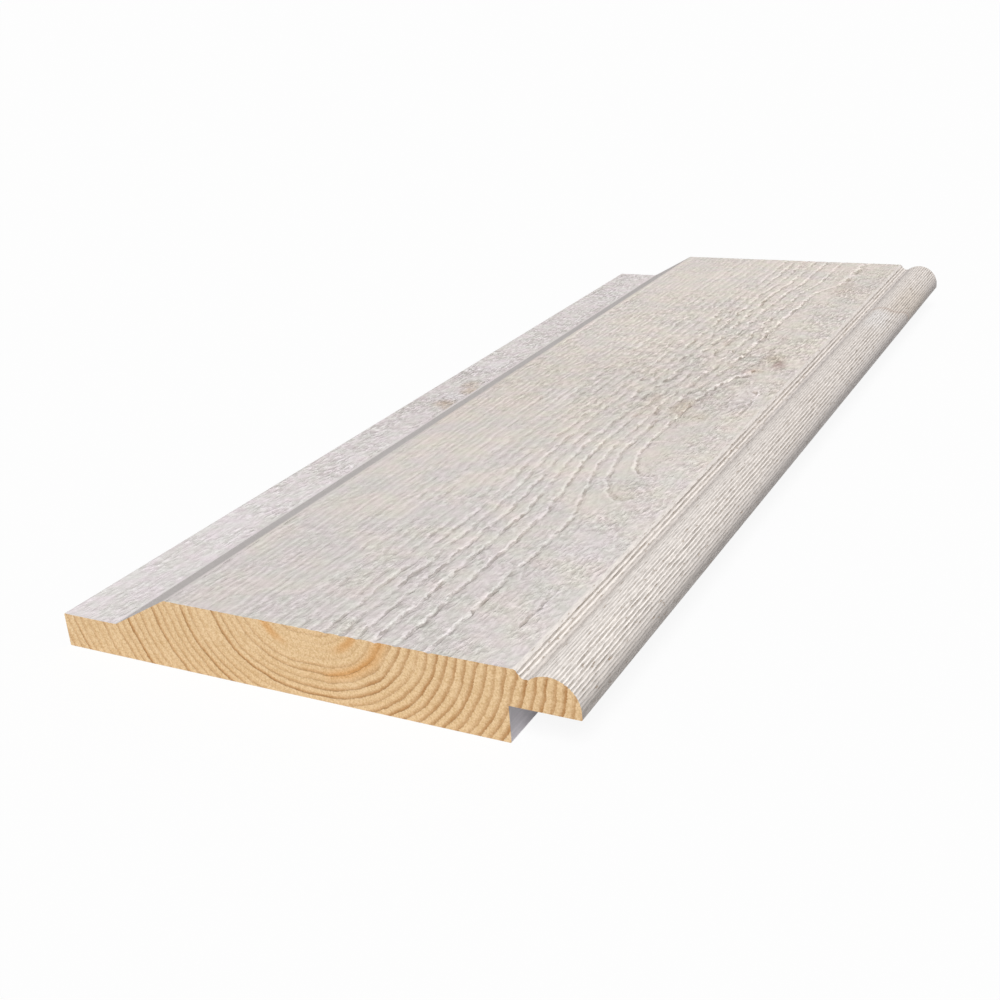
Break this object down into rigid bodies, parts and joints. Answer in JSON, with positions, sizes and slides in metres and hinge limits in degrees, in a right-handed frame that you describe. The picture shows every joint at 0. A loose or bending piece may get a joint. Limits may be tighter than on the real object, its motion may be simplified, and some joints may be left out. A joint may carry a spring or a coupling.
{
  "type": "double rebated cladding board",
  "caption": "Lapped softwood cladding board: a thin tongue below a long slope on one edge, a half-round bead on a lip over a rebate on the other. Brushed, primed weather face.",
  "frame": {"origin": "middle of the bounding box's underside: half-way across the 148 mm width and half-way along the board, on the plane of its flat back", "axes": "+X across the board towards the beaded lip, +Y along the board, +Z out of the weather face"},
  "size_m": [0.148, 0.375, 0.019],
  "materials": {
    "primed_softwood": "matte off-white primer over brushed grain, with bare sawn ends"
  },
  "bodies": {
    "root": {"cladding_board": "primed_softwood"}
  },
  "joints": []
}
